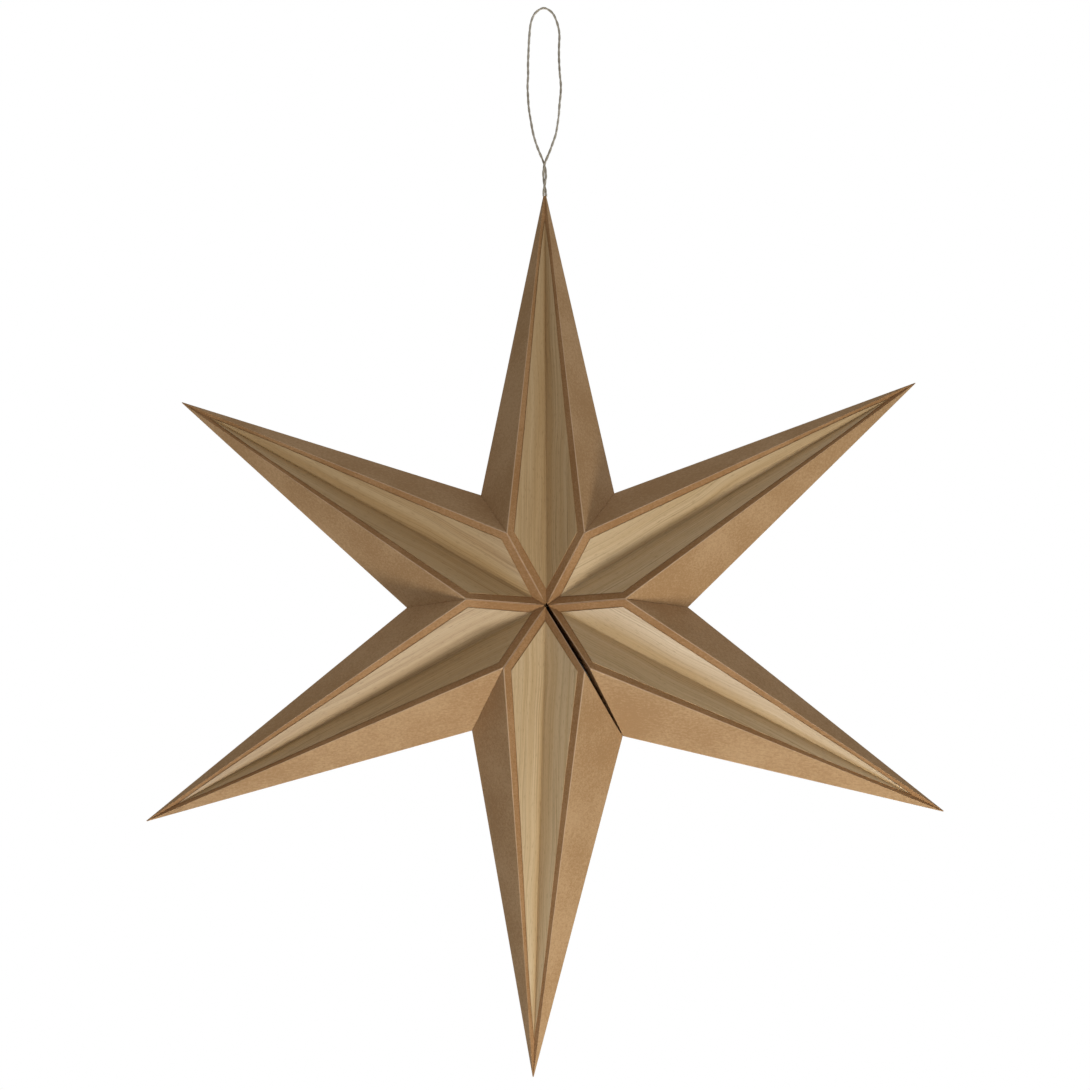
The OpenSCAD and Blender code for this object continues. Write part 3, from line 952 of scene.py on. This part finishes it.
@dataclass
class TwineLoop:
    """The hanging loop: two plies wound round each other, slightly wavy, with loose fibres."""

    diameter: float = 1.2
    ply_d: float = 0.98
    ply_offset: float = 0.17
    lay: float = 9.0
    wave: float = 3.0
    wave_length: float = 24.0
    lump_length: float = 5.0
    fibres: int = 110
    fibre_d: float = 0.05
    fibre_length: float = 1.5
    spots: int = 760
    ply_sides: int = 12
    seed: int = 7

    # Heights between which the wave sets in, over the tip and under the hook.
    WAVE_STARTS = ((-88, -72), (-1, -16))
    # One loose fibre, at a length of one.
    HAIR = {"Start": (0, 0, 0), "Start Handle": (0.3, 0, 0.45),
            "End Handle": (0.3, 0.2, 0.9), "End": (-0.1, 0.35, 1.0)}
    SOCKETS = {"Geometry": "Geometry", "Ply Radius": "Float", "Ply Offset": "Float", "Lay": "Float",
               "Wave": "Float", "Wave Length": "Float", "Fibre Radius": "Float",
               "Fibre Length": "Float", "Fibres": "Int", "Seed": "Int", "Finish": "Material"}
    HALF_ROUTE = ((0.7, 0, -110), (0.5, 0.5, -107), (0, 0.7, -104), (-0.5, 0.5, -101), (-0.7, 0, -98),
                  (-0.5, -0.5, -95), (0, -0.7, -92), (1, -0.5, -89), (2.4, -0.2, -85.5), (4, 0, -81),
                  (5.7, 0, -75), (7, 0, -68), (7.9, 0, -60), (8.4, 0, -51), (8.6, 0, -42),
                  (8.6, 0, -33), (8.5, 0, -24), (8.1, 0, -15), (7, 0, -8), (4.7, 0, -2.4))

    def route(self) -> list[Spot]:
        """Finds the middle of the twine.

        Returns:
            Spots on a smooth line through the points of the route, in millimetres.
        """
        half = [np.array(p, float) for p in self.HALF_ROUTE]
        other = [np.array((-p[0], -p[1], p[2])) for p in reversed(half)]
        knots = [*half, np.array((0, 0, self.diameter / 2)), *other]
        line = []
        for i in range(len(knots) - 1):
            a, d = knots[max(0, i - 1)], knots[min(len(knots) - 1, i + 2)]
            b, c = knots[i], knots[i + 1]
            for t in CURVE_STEPS[:-1]:
                line.append(0.5 * (2 * b + (c - a) * t + (2 * a - 5 * b + 4 * c - d) * t ** 2
                                   + (3 * b - 3 * c + d - a) * t ** 3))
        return [*line, knots[-1]]

    def plies_tree(self) -> bpy.types.NodeTree:
        """Builds the node tree that winds the plies along a line and adds fibres.

        Returns:
            A tree with its sizes as named inputs, in metres.
        """
        tree = bpy.data.node_groups.new("wound_plies", "GeometryNodeTree")
        for name, kind in self.SOCKETS.items():
            tree.interface.new_socket(name, in_out="INPUT", socket_type=f"NodeSocket{kind}")
        tree.interface.new_socket("Geometry", in_out="OUTPUT", socket_type="NodeSocketGeometry")
        given = add_node(tree, "NodeGroupInput").outputs
        line = add_node(tree, "GeometryNodeMeshToCurve", inputs={"Mesh": given["Geometry"]}).outputs[0]
        fine = add_node(tree, "GeometryNodeResampleCurve", inputs={
            "Curve": line, "Count": self.spots}).outputs[0]
        place = add_node(tree, "GeometryNodeInputPosition").outputs[0]
        rate = add_node(tree, "ShaderNodeMath", {"operation": "DIVIDE"}, {
            0: 1.0, 1: given["Wave Length"]}).outputs[0]
        drift = add_node(tree, "ShaderNodeTexNoise", {"noise_dimensions": "4D"}, {
            "Vector": place, "W": given["Seed"], "Scale": rate, "Detail": 1.0}).outputs["Color"]
        middle = add_node(tree, "ShaderNodeVectorMath", {"operation": "SUBTRACT"}, {
            0: drift, 1: (0.5, 0.5, 0.5)}).outputs[0]
        height = add_node(tree, "ShaderNodeSeparateXYZ", inputs={0: place}).outputs[2]
        amount = given["Wave"]
        for still, free in self.WAVE_STARTS:
            share = add_node(tree, "ShaderNodeMapRange", {"interpolation_type": "SMOOTHSTEP"}, {
                "Value": height, "From Min": still * MM, "From Max": free * MM}).outputs[0]
            amount = add_node(tree, "ShaderNodeMath", {"operation": "MULTIPLY"}, {
                0: amount, 1: share}).outputs[0]
        sway = add_node(tree, "ShaderNodeVectorMath", {"operation": "SCALE"}, {
            0: middle, "Scale": amount}).outputs[0]
        fine = add_node(tree, "GeometryNodeSetPosition", inputs={
            "Geometry": fine, "Offset": sway}).outputs[0]
        lumps = add_node(tree, "ShaderNodeTexNoise", inputs={
            "Vector": place, "Scale": 1 / (self.lump_length * MM), "Detail": 2.0}).outputs["Fac"]
        swell = add_node(tree, "ShaderNodeMapRange", inputs={
            "Value": lumps, "From Min": 0.3, "From Max": 0.7, "To Min": 0.85, "To Max": 1.12}).outputs[0]
        run = add_node(tree, "GeometryNodeSplineParameter").outputs["Length"]
        normal = add_node(tree, "GeometryNodeInputNormal").outputs[0]
        tangent = add_node(tree, "GeometryNodeInputTangent").outputs[0]
        side = add_node(tree, "ShaderNodeVectorMath", {"operation": "CROSS_PRODUCT"}, {
            0: tangent, 1: normal}).outputs[0]
        turns = add_node(tree, "ShaderNodeMath", {"operation": "DIVIDE"}, {
            0: run, 1: given["Lay"]}).outputs[0]
        ring = add_node(tree, "GeometryNodeCurvePrimitiveCircle", inputs={
            "Resolution": self.ply_sides, "Radius": given["Ply Radius"]}).outputs[0]
        profile = add_node(tree, "GeometryNodeStoreNamedAttribute", {"data_type": "FLOAT_VECTOR"}, {
            "Geometry": ring, "Name": "across", "Value": place}).outputs[0]
        parts = []
        for phase in (0.0, math.pi):
            angle = add_node(tree, "ShaderNodeMath", {"operation": "MULTIPLY_ADD"}, {
                0: turns, 1: 2 * math.pi, 2: phase}).outputs[0]
            pushes = []
            for wave, way in (("COSINE", normal), ("SINE", side)):
                share = add_node(tree, "ShaderNodeMath", {"operation": wave}, {0: angle}).outputs[0]
                reach = add_node(tree, "ShaderNodeMath", {"operation": "MULTIPLY"}, {
                    0: share, 1: given["Ply Offset"]}).outputs[0]
                pushes.append(add_node(tree, "ShaderNodeVectorMath", {"operation": "SCALE"}, {
                    0: way, "Scale": reach}).outputs[0])
            push = add_node(tree, "ShaderNodeVectorMath", {"operation": "ADD"}, {
                0: pushes[0], 1: pushes[1]}).outputs[0]
            ply = add_node(tree, "GeometryNodeSetPosition", inputs={
                "Geometry": fine, "Offset": push}).outputs[0]
            further = add_node(tree, "ShaderNodeMath", {"operation": "ADD"}, {
                0: run, 1: phase}).outputs[0]
            marked = add_node(tree, "GeometryNodeStoreNamedAttribute", {"data_type": "FLOAT"}, {
                "Geometry": ply, "Name": "run", "Value": further}).outputs[0]
            parts.append(add_node(tree, "GeometryNodeCurveToMesh", inputs={
                "Curve": marked, "Profile Curve": profile, "Scale": swell,
                "Fill Caps": True}).outputs[0])
        roots = add_node(tree, "GeometryNodeCurveToPoints", {"mode": "COUNT"}, {
            "Curve": line, "Count": given["Fibres"]}).outputs[0]
        hair_line = add_node(tree, "GeometryNodeCurvePrimitiveBezierSegment", inputs={
            "Resolution": 5, **self.HAIR}).outputs[0]
        hair_scale = add_node(tree, "ShaderNodeCombineXYZ", inputs={
            i: given["Fibre Length"] for i in range(3)}).outputs[0]
        hair_size = add_node(tree, "GeometryNodeTransform", inputs={
            "Geometry": hair_line, "Scale": hair_scale}).outputs[0]
        hair_profile = add_node(tree, "GeometryNodeCurvePrimitiveCircle", inputs={
            "Resolution": 3, "Radius": given["Fibre Radius"]}).outputs[0]
        hair = add_node(tree, "GeometryNodeCurveToMesh", inputs={
            "Curve": hair_size, "Profile Curve": hair_profile, "Fill Caps": True}).outputs[0]
        spin = add_node(tree, "FunctionNodeRandomValue", {"data_type": "FLOAT_VECTOR"}, {
            0: (-math.pi,) * 3, 1: (math.pi,) * 3, "Seed": given["Seed"]}).outputs[0]
        grow = add_node(tree, "FunctionNodeRandomValue", {"data_type": "FLOAT"}, {
            2: 0.5, 3: 1.0, "Seed": given["Seed"]}).outputs[1]
        hairs = add_node(tree, "GeometryNodeInstanceOnPoints", inputs={
            "Points": roots, "Instance": hair, "Rotation": spin, "Scale": grow}).outputs[0]
        joined = add_node(tree, "GeometryNodeJoinGeometry")
        for part in (*parts, hairs):
            tree.links.new(part, joined.inputs[0])
        real = add_node(tree, "GeometryNodeRealizeInstances", inputs={0: joined.outputs[0]}).outputs[0]
        dressed = add_node(tree, "GeometryNodeSetMaterial", inputs={
            "Geometry": real, "Material": given["Finish"]}).outputs[0]
        add_node(tree, "NodeGroupOutput", inputs={0: dressed})
        return tree

    def build(self, material: bpy.types.Material) -> bpy.types.Object:
        """Builds the loop.

        Args:
            material: The finish of the twine.

        Returns:
            The twine as a plain mesh, which goes back into the top tip.
        """
        route = self.route()
        line = bpy.data.meshes.new("twine_route")
        line.from_pydata([tuple(p * MM) for p in route], [(i, i + 1) for i in range(len(route) - 1)], [])
        guide = add_object("twine_route", line)
        tree = self.plies_tree()
        winding = guide.modifiers.new("plies", "NODES")
        winding.node_group = tree
        sizes = {"Ply Radius": self.ply_d / 2 * MM, "Ply Offset": self.ply_offset * MM,
                 "Lay": self.lay * MM, "Wave": self.wave * MM, "Wave Length": self.wave_length * MM,
                 "Fibre Radius": self.fibre_d / 2 * MM, "Fibre Length": self.fibre_length * MM,
                 "Fibres": self.fibres, "Seed": self.seed, "Finish": material}
        for item in tree.interface.items_tree:
            if item.in_out == "INPUT" and item.name in sizes:
                winding[item.identifier] = sizes[item.name]
        graph = bpy.context.evaluated_depsgraph_get()
        mesh = bpy.data.meshes.new_from_object(guide.evaluated_get(graph))
        bpy.data.objects.remove(guide)
        bpy.data.meshes.remove(line)
        bpy.data.node_groups.remove(tree)
        mesh.name = "twine_loop"
        mesh.shade_smooth()
        piece = add_object("twine_loop", mesh)
        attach(piece, "root")
        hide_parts("hanging_loop")
        return piece


@dataclass(frozen=True)
class Lamp:
    """A round soft lamp that is aimed at the middle of the star, with its size and place in metres."""

    name: str
    watts: float
    size: float
    place: tuple[float, float, float]
    colour: tuple[float, float, float] = (1.0, 0.99, 0.975)
    only_sheen: bool = False


@dataclass
class Studio:
    """The camera at the photograph's view, the lamps, the white world and a pale floor far below.

    The camera's distance and shift are in millimetres, and the floor is in metres.
    """

    folds: StarFolds
    focal_px: float = 1700.0
    frame_px: float = 1090.0
    sensor_mm: float = 36.0
    distance: float = 860.2
    shift: tuple[float, float] = (1.04, -32.86)
    turns: tuple[float, float, float] = (-12.436, -1.565, 0.653)
    lamps: tuple[Lamp, ...] = (
        Lamp("key", 4.4, 0.22, (0.33, -0.42, -1.09), (1.0, 0.98, 0.92)),
        Lamp("sheen", 13.5, 0.55, (-0.26, -0.24, -1.18), only_sheen=True),
        Lamp("back", 6.0, 0.6, (-0.5, 0.85, -0.75)))
    bright_way: tuple[float, float, float] = (0.84, 0.0, 0.543)
    dim_side: Colour = (0.24, 0.234, 0.228, 1.0)
    bright_side: Colour = (0.438, 0.448, 0.48, 1.0)
    floor_z: float = -1.35
    floor_radius: float = 2.4
    floor_colour: str = "#e6e4e0"
    floor_glow: float = 0.62

    def camera(self) -> bpy.types.Object:
        """Builds the camera from the fit of the star's folds to the photograph.

        Returns:
            The camera, below the star and looking slightly up.
        """
        rx, ry, rz = (math.radians(t) for t in self.turns)
        turn = Matrix.Rotation(rz, 3, "Z") @ Matrix.Rotation(ry, 3, "Y") @ Matrix.Rotation(rx, 3, "X")
        back = turn.transposed()
        upright = Matrix(((1, 0, 0), (0, 0, -1), (0, 1, 0)))
        place = upright @ (back @ Vector((-self.shift[0], -self.shift[1], self.distance)))
        data = bpy.data.cameras.new("photo_view")
        data.sensor_width = self.sensor_mm
        data.lens = self.focal_px / self.frame_px * data.sensor_width
        data.clip_start, data.clip_end = 0.01, 50.0
        eye = add_object("photo_view", data)
        moved = Matrix.Translation((place + Vector(self.folds.centre)) * MM)
        eye.matrix_world = moved @ (upright @ back).to_4x4()
        bpy.context.scene.camera = eye
        return eye

    def add_lamps(self) -> None:
        """Adds the soft key lamp low on the right, one that shows only as sheen, and one for the back."""
        for lamp in self.lamps:
            data = bpy.data.lights.new(lamp.name, "AREA")
            data.shape = "DISK"
            data.size = lamp.size
            data.energy = lamp.watts
            data.color = lamp.colour
            made = add_object(lamp.name, data)
            aim = Vector(self.folds.centre) * MM - Vector(lamp.place)
            made.location = lamp.place
            made.rotation_euler = aim.to_track_quat("-Z", "Y").to_euler()
            made.visible_camera = False
            made.visible_diffuse = not lamp.only_sheen

    def add_world(self) -> None:
        """Adds a world that is white to the eye, and as a light is dim and brighter on one side."""
        scene = bpy.context.scene
        scene.view_settings.view_transform = "Standard"
        scene.world = bpy.data.worlds.new("white_room")
        scene.world.use_nodes = True
        tree = scene.world.node_tree
        path = add_node(tree, "ShaderNodeLightPath").outputs
        seen = path["Is Camera Ray"]
        for name in ("Is Glossy Ray", "Is Transmission Ray"):
            seen = add_node(tree, "ShaderNodeMath", {"operation": "MAXIMUM"}, {
                0: seen, 1: path[name]}).outputs[0]
        way = add_node(tree, "ShaderNodeTexCoord").outputs["Generated"]
        height = add_node(tree, "ShaderNodeVectorMath", {"operation": "DOT_PRODUCT"}, {
            0: way, 1: self.bright_way}).outputs["Value"]
        rise = add_node(tree, "ShaderNodeMapRange", inputs={
            "Value": height, "From Min": -1.0}).outputs[0]
        light = self.dim_side
        for share, shade in ((rise, self.bright_side), (seen, WHITE)):
            light = add_node(tree, "ShaderNodeMix", {"data_type": "RGBA"}, {
                0: share, 6: light, 7: shade}).outputs[2]
        set_inputs(tree, tree.nodes["Background"], {"Color": light})

    def add_floor(self) -> bpy.types.Object:
        """Adds a pale round floor that keeps its shadows.

        Returns:
            The floor.
        """
        shape = bmesh.new()
        bmesh.ops.create_circle(shape, cap_ends=True, segments=96, radius=self.floor_radius,
                                matrix=Matrix.Translation((0, 0, self.floor_z)))
        made, tree, shader = new_finish("pale_floor")
        seen = add_node(tree, "ShaderNodeLightPath").outputs["Is Camera Ray"]
        glow = add_node(tree, "ShaderNodeMath", {"operation": "MULTIPLY"}, {
            0: seen, 1: self.floor_glow}).outputs[0]
        set_inputs(tree, shader, {"Base Color": linear(self.floor_colour), "Roughness": 0.9,
                                  "Emission Color": WHITE, "Emission Strength": glow})
        piece = mesh_object("floor", shape, made)
        return piece


def main() -> None:
    """Builds the star and its studio, and reports each piece."""
    logging.basicConfig(level=logging.INFO, format="%(name)s: %(message)s")
    folds = StarFolds()
    studio = Studio(folds)
    studio.camera()
    pieces = [TwineLoop().build(JuteTwine().material())]
    card, veneer, plate = KraftCard().material(), PaleVeneer().material(), NickelPlate().material()
    for ray in Ray:
        pieces.append(FoldedCard(folds, ray).build(card))
        for face in Face:
            pieces.append(ValleyVeneer(folds, ray, face, VENEER_TONES[ray]).build(veneer))
    for piece in pieces:
        LOG.info("%s: %d faces", piece.name, len(piece.data.polygons))
    for name in ("closing_magnet_upper", "closing_magnet_lower"):
        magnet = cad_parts[name]
        magnet.data.materials.clear()
        magnet.data.materials.append(plate)
        LOG.info("%s: dressed", name)
    studio.add_lamps()
    studio.add_world()
    studio.add_floor()


if __name__ == "__main__":
    main()
